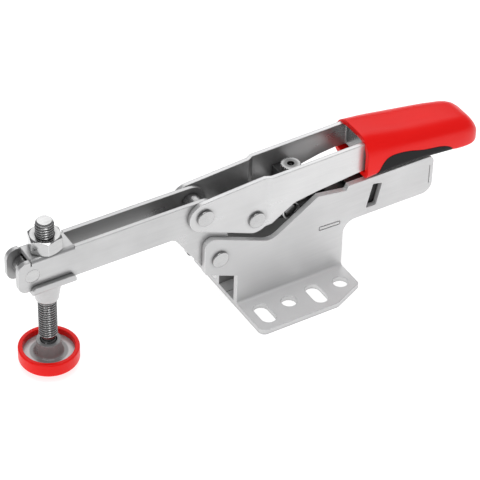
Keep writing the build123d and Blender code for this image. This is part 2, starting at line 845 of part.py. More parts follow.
with BuildPart() as grip_insert:
    add(grip_outside)
    with BuildSketch(upright(reach_through / 2)):
        with BuildLine():
            seam_line = Spline(*table(seam[1:-1]))
            Polyline(seam_line @ 1, at(seam[-1]), at(seam[0]), seam_line @ 0)
        make_face()
    extrude(amount=reach_through, mode=Mode.INTERSECT)
    add(grip_inside)
    with BuildSketch(upright(reach_through / 2)):
        with Locations(at((core_station - grip_length / 2, tang_bottom))):
            Rectangle(grip_length, grip_length)
    extrude(amount=reach_through, mode=Mode.SUBTRACT)
    with BuildSketch(level(tang_bottom - seat_fit)):
        with Locations(((core_station + tang_station) / 2 + front, 0)):
            Rectangle(tang_station - core_station + 2 * seat_fit + 2, (tang_half_width + seat_fit) * 2)
    extrude(amount=tang_sheet + 2 * seat_fit, mode=Mode.SUBTRACT)
save(grip_insert.part, "grip_insert")

with BuildPart() as grip_shell:
    add(grip_outside)
    add(grip_inside, mode=Mode.SUBTRACT)
    add(grip_insert.part, mode=Mode.SUBTRACT)
    with BuildSketch(crosswise(grip_sections[0][0])):
        rounded(
            [
                ((-mouth_half_width, 0), 0),
                ((mouth_half_width, 0), 0),
                ((mouth_half_width, mouth_top), mouth_radius),
                ((-mouth_half_width, mouth_top), mouth_radius),
            ]
        )
    extrude(amount=core_station - grip_sections[0][0], mode=Mode.SUBTRACT)
save(grip_shell.part, "grip_shell")
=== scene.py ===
"""Looks for a horizontal toggle clamp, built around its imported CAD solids.

The frame is the CAD's: metres, +X from the pressure pad towards the grip,
+Y across the clamp, +Z up, with the mounting face at z = 0.
"""

from math import pi, radians

import bpy
from mathutils import Matrix, Vector


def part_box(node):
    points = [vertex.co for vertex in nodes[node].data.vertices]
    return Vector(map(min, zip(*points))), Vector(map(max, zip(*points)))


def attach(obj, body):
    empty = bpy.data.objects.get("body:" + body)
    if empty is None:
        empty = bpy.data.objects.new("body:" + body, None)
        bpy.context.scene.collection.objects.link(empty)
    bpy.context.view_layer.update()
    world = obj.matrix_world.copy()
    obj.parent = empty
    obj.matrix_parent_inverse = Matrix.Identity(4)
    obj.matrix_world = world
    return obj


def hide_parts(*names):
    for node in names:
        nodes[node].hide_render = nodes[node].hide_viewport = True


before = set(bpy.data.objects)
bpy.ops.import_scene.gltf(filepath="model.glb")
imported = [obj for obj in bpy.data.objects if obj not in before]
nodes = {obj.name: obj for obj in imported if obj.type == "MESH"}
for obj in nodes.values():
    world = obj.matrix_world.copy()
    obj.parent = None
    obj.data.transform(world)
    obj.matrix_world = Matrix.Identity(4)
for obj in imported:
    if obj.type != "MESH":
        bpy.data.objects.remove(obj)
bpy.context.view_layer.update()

MM = 0.001
skin_gap = 0.02 * MM  # how far a modelled surface stays under the solid it stands for
root_gap = 0.01 * MM  # how far a core stays under the roots of its thread
seam_reach = 0.001 * MM  # how near two points of a seam are merged
flank_share = 0.42  # shares of a thread's pitch
flat_share = 0.08
thread_steps = 36
core_sides = 40
corner_shade_share = 0.22  # what the painted shade in corners keeps of a finish's colour
over_clamp = 100.0 * MM  # above the whole clamp, for a groove of painted shade without an upper end


def middle(name):
    """Centre of a CAD node's box."""
    low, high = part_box(name)
    return (low + high) / 2


spindle_axis = middle("spindle")
screw_axis = middle("adjusting_screw")

# ================================================================ shader helpers


def new_group(name, inputs, outputs):
    """Shader node group with named inputs and outputs, and its two end nodes."""
    group = bpy.data.node_groups.new(name, "ShaderNodeTree")
    for label, kind, value in inputs:
        entry = group.interface.new_socket(name=label, in_out="INPUT", socket_type=kind)
        entry.default_value = value
    for label, kind in outputs:
        group.interface.new_socket(name=label, in_out="OUTPUT", socket_type=kind)
    return group, group.nodes.new("NodeGroupInput"), group.nodes.new("NodeGroupOutput")


def feed(tree, entry, value):
    """Give a node's input a socket or a plain value."""
    if isinstance(value, bpy.types.NodeSocket):
        tree.links.new(value, entry)
    else:
        entry.default_value = value


def maths(tree, operation, first, second=None, clamp=False):
    """Math node; each operand is a socket or a number."""
    node = tree.nodes.new("ShaderNodeMath")
    node.operation = operation
    node.use_clamp = clamp
    feed(tree, node.inputs[0], first)
    if second is not None:
        feed(tree, node.inputs[1], second)
    return node.outputs[0]


def blend_colours(tree, factor, low, high):
    """Colour between two; the factor and the colours are sockets or plain values."""
    node = tree.nodes.new("ShaderNodeMix")
    node.data_type = "RGBA"
    # the colour mix keeps its factor in input 0, its colours in 6 and 7 and its result in output 2
    for place, operand in ((0, factor), (6, low), (7, high)):
        feed(tree, node.inputs[place], operand)
    return node.outputs[2]


def spread(tree, value, from_low, from_high, to_low, to_high):
    """Map Range node on a socket; the ends are numbers or sockets."""
    node = tree.nodes.new("ShaderNodeMapRange")
    for place, operand in enumerate((value, from_low, from_high, to_low, to_high)):
        feed(tree, node.inputs[place], operand)
    return node.outputs[0]


def along_axes(tree, kind):
    """X, Y and Z sockets of a kind of texture coordinate."""
    coordinates = tree.nodes.new("ShaderNodeTexCoord")
    axes = tree.nodes.new("ShaderNodeSeparateXYZ")
    tree.links.new(coordinates.outputs[kind], axes.inputs[0])
    return axes.outputs


def stretched_coordinates(tree, scale):
    """Object coordinates stretched by a scale on each axis."""
    coordinates = tree.nodes.new("ShaderNodeTexCoord")
    mapping = tree.nodes.new("ShaderNodeMapping")
    mapping.inputs["Scale"].default_value = scale
    tree.links.new(coordinates.outputs["Object"], mapping.inputs["Vector"])
    return mapping.outputs["Vector"]


def noise(tree, vector, scale, detail=3.0):
    """Noise texture on a vector; the scale is a number or a socket."""
    node = tree.nodes.new("ShaderNodeTexNoise")
    tree.links.new(vector, node.inputs["Vector"])
    node.inputs["Detail"].default_value = detail
    feed(tree, node.inputs["Scale"], scale)
    return node.outputs["Fac"]


# ================================================================ shared effects


def build_edge_wear_and_highlight():
    """Mask of rubbed outer edges, lighter as wear and as a painted highlight, and the softened normal over
    them.
    """
    group, given, out = new_group(
        "edge_wear_and_highlight",
        [
            ("Width", "NodeSocketFloat", 0.0004),
            ("Amount", "NodeSocketFloat", 1.0),
            ("Patch Scale", "NodeSocketFloat", 90.0),
        ],
        [("Mask", "NodeSocketFloat"), ("Normal", "NodeSocketVector")],
    )
    rounded = group.nodes.new("ShaderNodeBevel")
    rounded.samples = 6
    group.links.new(given.outputs["Width"], rounded.inputs["Radius"])
    geometry = group.nodes.new("ShaderNodeNewGeometry")
    dot = group.nodes.new("ShaderNodeVectorMath")
    dot.operation = "DOT_PRODUCT"
    group.links.new(rounded.outputs["Normal"], dot.inputs[0])
    group.links.new(geometry.outputs["Normal"], dot.inputs[1])
    turned = maths(group, "SUBTRACT", 1.0, dot.outputs["Value"], clamp=True)
    edge = spread(group, turned, 0.02, 0.22, 0.0, 1.0)
    patches = noise(group, stretched_coordinates(group, (1, 1, 1)), given.outputs["Patch Scale"])
    broken = spread(group, patches, 0.3, 0.6, 0.45, 1.0)
    worn_and_highlit = maths(group, "MULTIPLY", edge, broken)
    group.links.new(maths(group, "MULTIPLY", worn_and_highlit, given.outputs["Amount"], clamp=True), out.inputs["Mask"])
    group.links.new(rounded.outputs["Normal"], out.inputs["Normal"])
    return group


def build_plating():
    """Clouded satin plating: colour, roughness and fine height over the surface."""
    group, given, out = new_group(
        "plating",
        [
            ("Shade", "NodeSocketColor", (0.7, 0.7, 0.7, 1)),
            ("Cloud Shade", "NodeSocketColor", (0.6, 0.6, 0.6, 1)),
            ("Cloud Scale", "NodeSocketFloat", 40.0),
            ("Grain Scale", "NodeSocketFloat", 900.0),
            ("Gloss Low", "NodeSocketFloat", 0.26),
            ("Gloss High", "NodeSocketFloat", 0.42),
        ],
        [("Color", "NodeSocketColor"), ("Roughness", "NodeSocketFloat"), ("Height", "NodeSocketFloat")],
    )
    plain = stretched_coordinates(group, (1, 1, 1))
    drawn = stretched_coordinates(group, (0.06, 1, 1))
    clouds = noise(group, plain, given.outputs["Cloud Scale"], 4.0)
    grain = noise(group, drawn, given.outputs["Grain Scale"], 2.0)
    speckle = noise(group, plain, 2600.0, 1.0)
    mixed = maths(group, "ADD", maths(group, "MULTIPLY", clouds, 0.7), maths(group, "MULTIPLY", grain, 0.3))
    factor = spread(group, mixed, 0.35, 0.65, 0.0, 1.0)
    shade = blend_colours(group, factor, given.outputs["Cloud Shade"], given.outputs["Shade"])
    group.links.new(shade, out.inputs["Color"])
    gloss = spread(group, mixed, 0.35, 0.65, given.outputs["Gloss High"], given.outputs["Gloss Low"])
    group.links.new(gloss, out.inputs["Roughness"])
    height = maths(group, "ADD", maths(group, "MULTIPLY", grain, 0.6), maths(group, "MULTIPLY", speckle, 0.4))
    group.links.new(height, out.inputs["Height"])
    return group


def build_moulding():
    """Moulded plastic: faint flow marks in the colour and a fine spark-eroded grain."""
    group, given, out = new_group(
        "moulding",
        [
            ("Shade", "NodeSocketColor", (0.7, 0.02, 0.01, 1)),
            ("Flow Shade", "NodeSocketColor", (0.6, 0.02, 0.01, 1)),
            ("Grain Scale", "NodeSocketFloat", 1800.0),
            ("Gloss Low", "NodeSocketFloat", 0.3),
            ("Gloss High", "NodeSocketFloat", 0.42),
        ],
        [("Color", "NodeSocketColor"), ("Roughness", "NodeSocketFloat"), ("Height", "NodeSocketFloat")],
    )
    flow = noise(group, stretched_coordinates(group, (0.35, 1, 1)), 60.0, 3.0)
    factor = spread(group, flow, 0.35, 0.65, 0.0, 1.0)
    shade = blend_colours(group, factor, given.outputs["Flow Shade"], given.outputs["Shade"])
    group.links.new(shade, out.inputs["Color"])
    grain = noise(group, stretched_coordinates(group, (1, 1, 1)), given.outputs["Grain Scale"], 2.0)
    gloss = spread(group, flow, 0.3, 0.7, given.outputs["Gloss Low"], given.outputs["Gloss High"])
    group.links.new(gloss, out.inputs["Roughness"])
    group.links.new(grain, out.inputs["Height"])
    return group


def build_crevice_shade():
    """Mask of painted shade in corners, under heads and between parts."""
    group, given, out = new_group(
        "crevice_shade",
        [("Reach", "NodeSocketFloat", 0.002), ("Amount", "NodeSocketFloat", 1.0)],
        [("Mask", "NodeSocketFloat")],
    )
    openness = group.nodes.new("ShaderNodeAmbientOcclusion")
    openness.samples = 8
    group.links.new(given.outputs["Reach"], openness.inputs["Distance"])
    closed = spread(group, openness.outputs["AO"], 0.35, 0.95, 1.0, 0.0)
    shade_patches = noise(group, stretched_coordinates(group, (1, 1, 1)), 300.0)
    uneven = maths(group, "MULTIPLY", closed, spread(group, shade_patches, 0.3, 0.7, 0.75, 1.0))
    group.links.new(maths(group, "MULTIPLY", uneven, given.outputs["Amount"], clamp=True), out.inputs["Mask"])
    return group


def build_channel_light_and_shade():
    """Masks for painted shade on inward faces and on forward faces behind a station, and for painted light on
    upward faces.
    """
    group, given, out = new_group(
        "channel_light_and_shade",
        [("Web Station", "NodeSocketFloat", 0.0)],
        [("Walls", "NodeSocketFloat"), ("Web", "NodeSocketFloat"), ("Level", "NodeSocketFloat")],
    )
    place = along_axes(group, "Object")
    facing = along_axes(group, "Normal")
    side = maths(group, "SIGN", place["Y"])
    inward = maths(group, "MULTIPLY", maths(group, "MULTIPLY", side, facing["Y"]), -1.0)
    forward = spread(group, facing["X"], -0.4, -0.9, 0.0, 1.0)
    behind = maths(group, "GREATER_THAN", place["X"], given.outputs["Web Station"])
    group.links.new(spread(group, inward, 0.4, 0.9, 0.0, 1.0), out.inputs["Walls"])
    group.links.new(maths(group, "MULTIPLY", forward, behind), out.inputs["Web"])
    group.links.new(spread(group, facing["Z"], 0.3, 0.7, 0.0, 1.0), out.inputs["Level"])
    return group


def build_turned_ring():
    """Mask from 0 at an inner radius to 1 at an outer radius about an upright axis, for painted shade inside.
    """
    group, given, out = new_group(
        "turned_ring",
        [
            ("Axis X", "NodeSocketFloat", 0.0),
            ("Inner Radius", "NodeSocketFloat", 0.003),
            ("Outer Radius", "NodeSocketFloat", 0.004),
            ("Top Height", "NodeSocketFloat", 0.1),
        ],
        [("Mask", "NodeSocketFloat")],
    )
    place = along_axes(group, "Object")
    across = maths(group, "SUBTRACT", place["X"], given.outputs["Axis X"])
    across_square = maths(group, "POWER", across, 2.0)
    side_square = maths(group, "POWER", place["Y"], 2.0)
    radius = maths(group, "SQRT", maths(group, "ADD", across_square, side_square))
    mask = spread(group, radius, given.outputs["Inner Radius"], given.outputs["Outer Radius"], 0.0, 1.0)
    above = maths(group, "GREATER_THAN", place["Z"], given.outputs["Top Height"])
    group.links.new(maths(group, "MAXIMUM", mask, above), out.inputs["Mask"])
    return group


def build_length_fade():
    """Mask that rises from 0 to 1 along X between two stations, for painted shade darker towards the first.
    """
    group, given, out = new_group(
        "length_fade",
        [("Start", "NodeSocketFloat", -0.05), ("End", "NodeSocketFloat", 0.04)],
        [("Mask", "NodeSocketFloat")],
    )
    place = along_axes(group, "Object")
    mask = spread(group, place["X"], given.outputs["Start"], given.outputs["End"], 0.0, 1.0)
    group.links.new(mask, out.inputs["Mask"])
    return group


edge_wear_and_highlight = build_edge_wear_and_highlight()
crevice_shade = build_crevice_shade()
channel_light_and_shade = build_channel_light_and_shade()
turned_ring = build_turned_ring()
length_fade = build_length_fade()
plating = build_plating()
moulding = build_moulding()

# ================================================================ finishes


def place_group(tree, group, **values):
    """Group node in a material, with its own values; spaces in names are written as _."""
    node = tree.nodes.new("ShaderNodeGroup")
    node.node_tree = group
    for name, value in values.items():
        node.inputs[name.replace("_", " ")].default_value = value
    return node


def start_material(name):
    """Empty material with its Principled shader."""
    material = bpy.data.materials.new(name)
    material.use_nodes = True
    return material, material.node_tree, material.node_tree.nodes["Principled BSDF"]


def bump(tree, height, normal, strength, distance):
    """Bump node over a rounded normal."""
    node = tree.nodes.new("ShaderNodeBump")
    node.inputs["Strength"].default_value = strength
    node.inputs["Distance"].default_value = distance
    tree.links.new(height, node.inputs["Height"])
    tree.links.new(normal, node.inputs["Normal"])
    return node.outputs["Normal"]


def darkened(shade, share):
    """Colour socket value multiplied by a share, with its alpha."""
    return (*[channel * share for channel in shade], 1)


def metal_finish(
    name,
    shade,
    edge,
    edge_width=0.5 * MM,
    roughness=(0.26, 0.4),
    grain=(900.0, 0.25),
    cloud_scale=40.0,
    cloud_share=0.9,
    corner_shade=(2.0 * MM, 0.6),
    channel=None,
    groove=None,
    fade=None,
    metallic=1.0,
):
    """Plated or bare metal: clouding, drawn grain, painted corner shade, rubbed and highlit edges.

    roughness is its lowest and highest value, grain its scale and strength, and the painted shade in
    corners its reach and amount.  channel holds the web station and the shares of the shade on inner
    walls and on the web, painted shade, and on level faces, painted light where above 1; groove an
    upright axis, two radii, a height above which it ends and the share of painted shade left inside;
    fade two stations and the share of painted shade left at the first.
    """
    material, tree, shader = start_material(name)
    gloss_low, gloss_high = roughness
    grain_scale, grain_strength = grain
    corner_shade_reach, corner_shade_amount = corner_shade
    surface = place_group(
        tree,
        plating,
        Shade=darkened(shade, 1.0),
        Cloud_Shade=darkened(shade, cloud_share),
        Cloud_Scale=cloud_scale,
        Grain_Scale=grain_scale,
        Gloss_Low=gloss_low,
        Gloss_High=gloss_high,
    )
    colour = surface.outputs["Color"]
    # painted shade: the colour darkens towards the front station
    if fade:
        start, end, start_share = fade
        run = place_group(tree, length_fade, Start=start, End=end)
        colour = blend_colours(tree, run.outputs["Mask"], darkened(shade, start_share), colour)
    # rubbed edges: partly wear, partly a painted highlight in a lighter edge colour
    edge_rub_and_highlight = place_group(tree, edge_wear_and_highlight, Width=edge_width)
    colour = blend_colours(tree, edge_rub_and_highlight.outputs["Mask"], colour, darkened(edge, 1.0))
    # painted shade on inner walls and the web, painted light on level faces where a share is above 1
    if channel:
        web_station, *shares = channel
        inside = place_group(tree, channel_light_and_shade, Web_Station=web_station)
        for region, share in zip(("Walls", "Web", "Level"), shares):
            colour = blend_colours(tree, inside.outputs[region], colour, darkened(shade, share))
    # painted shade: the colour darkens inside the inner radius, in thread roots and towards the axis
    if groove:
        axis_x, inner, outer, top, inside_share = groove
        ring = place_group(
            tree, turned_ring, Axis_X=axis_x, Inner_Radius=inner, Outer_Radius=outer, Top_Height=top
        )
        colour = blend_colours(tree, ring.outputs["Mask"], darkened(shade, inside_share), colour)
    # painted shade: the colour is dulled in corners, under heads and between parts
    corner = place_group(tree, crevice_shade, Reach=corner_shade_reach, Amount=corner_shade_amount)
    colour = blend_colours(tree, corner.outputs["Mask"], colour, darkened(shade, corner_shade_share))
    tree.links.new(colour, shader.inputs["Base Color"])
    tree.links.new(surface.outputs["Roughness"], shader.inputs["Roughness"])
    normal = bump(tree, surface.outputs["Height"], edge_rub_and_highlight.outputs["Normal"], grain_strength, distance=0.02 * MM)
    tree.links.new(normal, shader.inputs["Normal"])
    shader.inputs["Metallic"].default_value = metallic
    return material


def plastic_finish(name, shade, flow, edge, roughness, grain_scale, shine):
    """Moulded plastic or soft rubber-like plastic; roughness is its lowest and highest value."""
    material, tree, shader = start_material(name)
    gloss_low, gloss_high = roughness
    surface = place_group(
        tree,
        moulding,
        Shade=(*shade, 1),
        Flow_Shade=(*flow, 1),
        Grain_Scale=grain_scale,
        Gloss_Low=gloss_low,
        Gloss_High=gloss_high,
    )
    # rubbed edges: partly wear, partly a painted highlight in a lighter edge colour
    edge_rub_and_highlight = place_group(tree, edge_wear_and_highlight, Width=0.6 * MM, Amount=0.35)
    colour = blend_colours(tree, edge_rub_and_highlight.outputs["Mask"], surface.outputs["Color"], (*edge, 1))
    tree.links.new(colour, shader.inputs["Base Color"])
    tree.links.new(surface.outputs["Roughness"], shader.inputs["Roughness"])
    normal = bump(tree, surface.outputs["Height"], edge_rub_and_highlight.outputs["Normal"], strength=0.18, distance=0.03 * MM)
    tree.links.new(normal, shader.inputs["Normal"])
    shader.inputs["Specular IOR Level"].default_value = shine
    return material


def grey(value):
    """Neutral colour."""
    return (value, value, value)


# edge colours: partly wear, partly a painted highlight along edges
worn_and_highlit_edge = grey(0.95)
upright_zinc = metal_finish(
    "upright_zinc_sheet",
    grey(0.7),
    worn_and_highlit_edge,
    edge_width=0.6 * MM,
    roughness=(0.42, 0.52),
    grain=(900.0, 0.12),
    channel=(0.0, 0.42, 1.0, 1.25),
    fade=(-0.055, 0.03, 0.88),
    corner_shade=(1.8 * MM, 0.45),
    metallic=0.5,
)
# the upright sides, the arm and the handle are one zinc plating; the arm's darker shade is painted shade
arm_zinc = metal_finish(
    "arm_zinc_sheet", grey(0.58), worn_and_highlit_edge, channel=(0.0, 0.62, 1.0, 1.0), cloud_scale=55.0, metallic=0.75
)
handle_zinc = metal_finish(
    "handle_zinc_sheet",
    grey(0.7),
    worn_and_highlit_edge,
    channel=(0.0, 0.66, 0.4, 1.0),
    fade=(-0.06, -0.005, 0.85),
    metallic=0.75,
)
clip_zinc = metal_finish(
    "clip_zinc", grey(0.55), grey(0.8), roughness=(0.24, 0.36), grain=(900.0, 0.1), metallic=0.8
)
turned_steel = metal_finish(
    "turned_rivet_steel",
    grey(0.56),
    grey(0.85),
    edge_width=0.4 * MM,
    roughness=(0.2, 0.3),
    grain=(1400.0, 0.15),
    cloud_scale=120.0,
    corner_shade=(2.5 * MM, 1.0),
)
spacer_steel = metal_finish(
    "spacer_tube_steel",
    grey(0.45),
    grey(0.8),
    edge_width=0.4 * MM,
    roughness=(0.2, 0.34),
    grain=(1400.0, 0.15),
    cloud_scale=120.0,
    corner_shade=(3.0 * MM, 0.7),
)
spindle_zinc = metal_finish(
    "spindle_zinc",
    grey(0.62),
    grey(0.9),
    edge_width=0.2 * MM,
    roughness=(0.16, 0.28),
    grain=(1200.0, 0.2),
    cloud_scale=160.0,
    groove=(spindle_axis.x, 3.4 * MM, 3.9 * MM, 75.0 * MM, 0.3),
    corner_shade=(1.5 * MM, 0.5),
)
screw_zinc = metal_finish(
    "screw_zinc",
    grey(0.6),
    grey(0.9),
    edge_width=0.3 * MM,
    roughness=(0.16, 0.28),
    grain=(1200.0, 0.2),
    cloud_scale=160.0,
    groove=(screw_axis.x, 2.5 * MM, 4.4 * MM, over_clamp, 0.3),
)
nut_zinc = metal_finish(
    "nut_zinc",
    grey(0.55),
    grey(0.9),
    edge_width=0.4 * MM,
    roughness=(0.1, 0.2),
    grain=(700.0, 0.1),
    cloud_scale=80.0,
    corner_shade=(2.5 * MM, 0.8),
)
pressed_zinc = metal_finish(
    "pressed_plate_zinc",
    grey(0.62),
    grey(0.9),
    edge_width=0.4 * MM,
    roughness=(0.24, 0.36),
    grain=(900.0, 0.2),
    cloud_scale=60.0,
    corner_shade=(3.0 * MM, 0.4),
    groove=(spindle_axis.x, 7.8 * MM, 8.4 * MM, over_clamp, 0.45),
    metallic=0.3,
)
oxide_steel = metal_finish(
    "oxide_steel",
    grey(0.1),
    grey(0.3),
    edge_width=0.3 * MM,
    roughness=(0.36, 0.52),
    grain=(800.0, 0.3),
    cloud_scale=90.0,
    cloud_share=0.6,
    corner_shade=(4.0 * MM, 0.7),
)
ground_steel = metal_finish(
    "ground_block_steel",
    grey(0.3),
    grey(0.62),
    edge_width=0.4 * MM,
    roughness=(0.28, 0.42),
    grain=(1000.0, 0.3),
    cloud_scale=70.0,
    corner_shade=(4.0 * MM, 0.7),
)
spring_steel = metal_finish(
    "spring_steel",
    grey(0.62),
    grey(0.8),
    edge_width=0.1 * MM,
    roughness=(0.16, 0.26),
    grain=(1500.0, 0.1),
    cloud_scale=200.0,
)
worn_and_highlit_red = (0.9, 0.02, 0.015)
grip_red = plastic_finish(
    "grip_red",
    shade=(0.88, 0.004, 0.002),
    flow=(0.82, 0.003, 0.002),
    edge=worn_and_highlit_red,
    roughness=(0.3, 0.4),
    grain_scale=1500.0,
    shine=0.2,
)
cap_red = plastic_finish(
    "cap_red",
    shade=(0.86, 0.004, 0.002),
    flow=(0.78, 0.003, 0.002),
    edge=worn_and_highlit_red,
    roughness=(0.26, 0.36),
    grain_scale=2200.0,
    shine=0.2,
)
insert_black = plastic_finish(
    "insert_black",
    shade=(0.013, 0.013, 0.014),
    flow=(0.009, 0.009, 0.01),
    edge=grey(0.05),
    roughness=(0.5, 0.62),
    grain_scale=1000.0,
    shine=0.15,
)

finishes = {
    upright_zinc: ["base_side_left", "base_side_right"],
    arm_zinc: ["arm"],
    handle_zinc: ["handle_frame"],
    clip_zinc: ["flanged_nut"],
    turned_steel: ["arm_pivot_pin", "handle_pivot_pin", "link_pivot_pin", "arm_front_rivet", "link_foot_pin"],
    spacer_steel: ["arm_pivot_spacer", "handle_pivot_spacer", "link_pivot_spacers", "arm_front_spacer"],
    spindle_zinc: ["spindle"],
    screw_zinc: ["adjusting_screw"],
    nut_zinc: ["spindle_nut"],
    pressed_zinc: ["pressure_plate"],
    oxide_steel: ["wedge_slide", "wedge_guide"],
    ground_steel: ["link_plates", "adjuster_block"],
    spring_steel: ["link_springs", "slide_spring", "screw_spring"],
    grip_red: ["grip_shell"],
    cap_red: ["pad_cap"],
    insert_black: ["grip_insert"],
}
for finish, names in finishes.items():
    for name in names:
        nodes[name].data.materials.clear()
        nodes[name].data.materials.append(finish)

# ================================================================ modelling helpers


def deselect():
    """Leave nothing selected, in object mode."""
    if bpy.context.object and bpy.context.object.mode != "OBJECT":
        bpy.ops.object.mode_set(mode="OBJECT")
    bpy.ops.object.select_all(action="DESELECT")


def every(part):
    """Choice of all faces or vertices."""
    return True


def edit(piece, choose, mode="FACE"):
    """Open a piece in edit mode with only the chosen faces or vertices selected."""
    deselect()
    piece.select_set(True)
    bpy.context.view_layer.objects.active = piece
    bpy.ops.object.mode_set(mode="EDIT")
    bpy.ops.mesh.select_mode(type=mode)
    bpy.ops.mesh.select_all(action="DESELECT")
    bpy.ops.object.mode_set(mode="OBJECT")
    for part in piece.data.polygons if mode == "FACE" else piece.data.vertices:
        part.select = choose(part)
    bpy.ops.object.mode_set(mode="EDIT")


def settle(piece, finish, body, smooth):
    """Put the piece's place in its mesh, smooth it, dress it and hang it on its body."""
    deselect()
    piece.select_set(True)
    bpy.context.view_layer.objects.active = piece
    bpy.ops.object.transform_apply(location=True, rotation=True, scale=True)
    bpy.ops.object.shade_smooth_by_angle(angle=radians(smooth))
    piece.data.materials.clear()
    piece.data.materials.append(finish)
    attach(piece, body)


def helical_thread(name, axis_place, low, high, crest, pitch, depth):
    """Thread sleeve wound from a one-pitch profile, standing on the given axis."""
    root = crest - depth
    bpy.ops.mesh.primitive_plane_add(size=pitch, location=(root, 0, low))
    sleeve = bpy.context.active_object
    sleeve.name = name
    edit(sleeve, lambda vertex: vertex.co.x > 0 or vertex.co.y > 0, "VERT")
    bpy.ops.mesh.delete(type="VERT")
    edit(sleeve, every, "VERT")
    bpy.ops.transform.translate(value=(pitch / 2, pitch / 2, 0))
    flank = pitch * flank_share
    flat = pitch * flat_share
    for step in ((depth, 0, flank), (0, 0, flat), (-depth, 0, flank), (0, 0, flat)):
        bpy.ops.mesh.extrude_region_move(TRANSFORM_OT_translate={"value": step})
    bpy.ops.object.mode_set(mode="OBJECT")
    bpy.ops.object.transform_apply(location=True, rotation=True, scale=True)
    winding = sleeve.modifiers.new("winding", "SCREW")
    winding.axis = "Z"
    winding.angle = 2 * pi
    winding.screw_offset = pitch
    winding.iterations = int((high - low) / pitch)
    winding.steps = thread_steps
    winding.render_steps = thread_steps
    winding.use_merge_vertices = True
    winding.merge_threshold = seam_reach
    bpy.ops.object.modifier_apply(modifier=winding.name)
    edit(sleeve, every, "VERT")
    bpy.ops.mesh.remove_doubles(threshold=seam_reach)
    bpy.ops.mesh.normals_make_consistent(inside=False)
    bpy.ops.object.mode_set(mode="OBJECT")
    sleeve.location = (axis_place.x, axis_place.y, 0)
    bpy.ops.object.transform_apply(location=True, rotation=True, scale=True)
    return sleeve


def turned_core(name, axis_place, sections):
    """Turned solid: a disc carried up through (radius, height) sections."""
    radius, height = sections[0]
    bpy.ops.mesh.primitive_circle_add(
        vertices=core_sides, radius=radius, fill_type="NGON", location=(axis_place.x, axis_place.y, height)
    )
    core = bpy.context.active_object
    core.name = name
    edit(core, every)
    for next_radius, next_height in sections[1:]:
        bpy.ops.mesh.extrude_region_move(TRANSFORM_OT_translate={"value": (0, 0, next_height - height)})
        factor = next_radius / radius
        centre = (axis_place.x, axis_place.y, next_height)
        bpy.ops.transform.resize(value=(factor, factor, 1), center_override=centre)
        radius, height = next_radius, next_height
    edit(core, every)
    bpy.ops.mesh.normals_make_consistent(inside=False)
    bpy.ops.object.mode_set(mode="OBJECT")
    return core


def joined(name, pieces):
    """One piece from several, under a name of its own."""
    deselect()
    for piece in pieces:
        piece.select_set(True)
    bpy.context.view_layer.objects.active = pieces[0]
    bpy.ops.object.join()
    pieces[0].name = name
    return pieces[0]


# ================================================================ threaded spindle
spindle_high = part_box("spindle")[1]
spindle_radius = 4.0 * MM
spindle_pitch = 1.25 * MM
spindle_depth = 0.72 * MM
thread_low = 15.6 * MM
tip_height = 0.9 * MM
neck_radius = 2.7 * MM
ball_radius = 4.2 * MM
ball_height = 10.4 * MM
core_radius = spindle_radius - spindle_depth - root_gap
tip_radius = 3.75 * MM
tip_end_radius = 3.1 * MM
tip_chamfer = 0.7 * MM
tip_low = spindle_high.z - tip_height
neck_high = thread_low - 0.6 * MM
core_low = thread_low - 0.2 * MM
core_high = tip_low - 0.5 * MM
tip_full = tip_low + 0.1 * MM

thread = helical_thread(
    "spindle_thread",
    spindle_axis,
    thread_low,
    tip_low,
    spindle_radius - skin_gap,
    spindle_pitch,
    spindle_depth,
)
core = turned_core(
    "spindle_core",
    spindle_axis,
    [
        (neck_radius, ball_height),
        (neck_radius, neck_high),
        (core_radius, core_low),
        (core_radius, core_high),
        (tip_radius, tip_full),
        (tip_radius, spindle_high.z - tip_chamfer),
        (tip_end_radius, spindle_high.z - skin_gap),
    ],
)
bpy.ops.mesh.primitive_uv_sphere_add(
    segments=36,
    ring_count=20,
    radius=ball_radius - skin_gap,
    location=(spindle_axis.x, spindle_axis.y, ball_height),
)
ball = bpy.context.active_object
threaded_spindle = joined("threaded_spindle", [core, thread, ball])
settle(threaded_spindle, spindle_zinc, "arm", smooth=40)
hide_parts("spindle")

# ================================================================ knurled adjusting screw
screw_low, screw_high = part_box("adjusting_screw")
knob_radius = 4.4 * MM
head_height = 4.0 * MM  # of the solid screw's head, which is taller than this knob
knob_height = 2.6 * MM
knob_low = screw_high.z - head_height
knob_top = knob_low + knob_height
crest_radius = 2.92 * MM
shank_radius = 2.45 * MM
shank_end_radius = 2.05 * MM
shank_full = screw_low.z + 0.5 * MM
shank_top = knob_low + 0.1 * MM
screw_thread_low = screw_low.z + 0.6 * MM
screw_pitch = 1.0 * MM
screw_depth = 0.5 * MM
knurl_depth = 0.35 * MM
ridges = 22
knurl_inset = 0.08 * MM
rim_width = 0.7 * MM
rim_step = 0.02 * MM
face_width = 1.8 * MM
hollow_depth = 1.6 * MM

bpy.ops.mesh.primitive_cylinder_add(
    vertices=ridges * 2,
    radius=knob_radius - knurl_depth,
    depth=knob_height,
    end_fill_type="NGON",
    location=(screw_axis.x, screw_axis.y, (knob_low + knob_top) / 2),
)
knob = bpy.context.active_object
deselect()
flank_faces = [face.index for face in knob.data.polygons if abs(face.normal.z) < 0.5]
ridge_faces = set(flank_faces[::2])
edit(knob, lambda face: face.index in ridge_faces)
bpy.ops.mesh.inset(thickness=knurl_inset, use_individual=True)
bpy.ops.mesh.extrude_faces_move(TRANSFORM_OT_shrink_fatten={"value": knurl_depth})
edit(knob, lambda face: face.normal.z > 0.9 and face.area > knob_radius * knob_radius)
bpy.ops.mesh.inset(thickness=rim_width)
bpy.ops.transform.translate(value=(0, 0, -rim_step))
bpy.ops.mesh.inset(thickness=face_width)
bpy.ops.mesh.extrude_region_move(TRANSFORM_OT_translate={"value": (0, 0, -hollow_depth)})
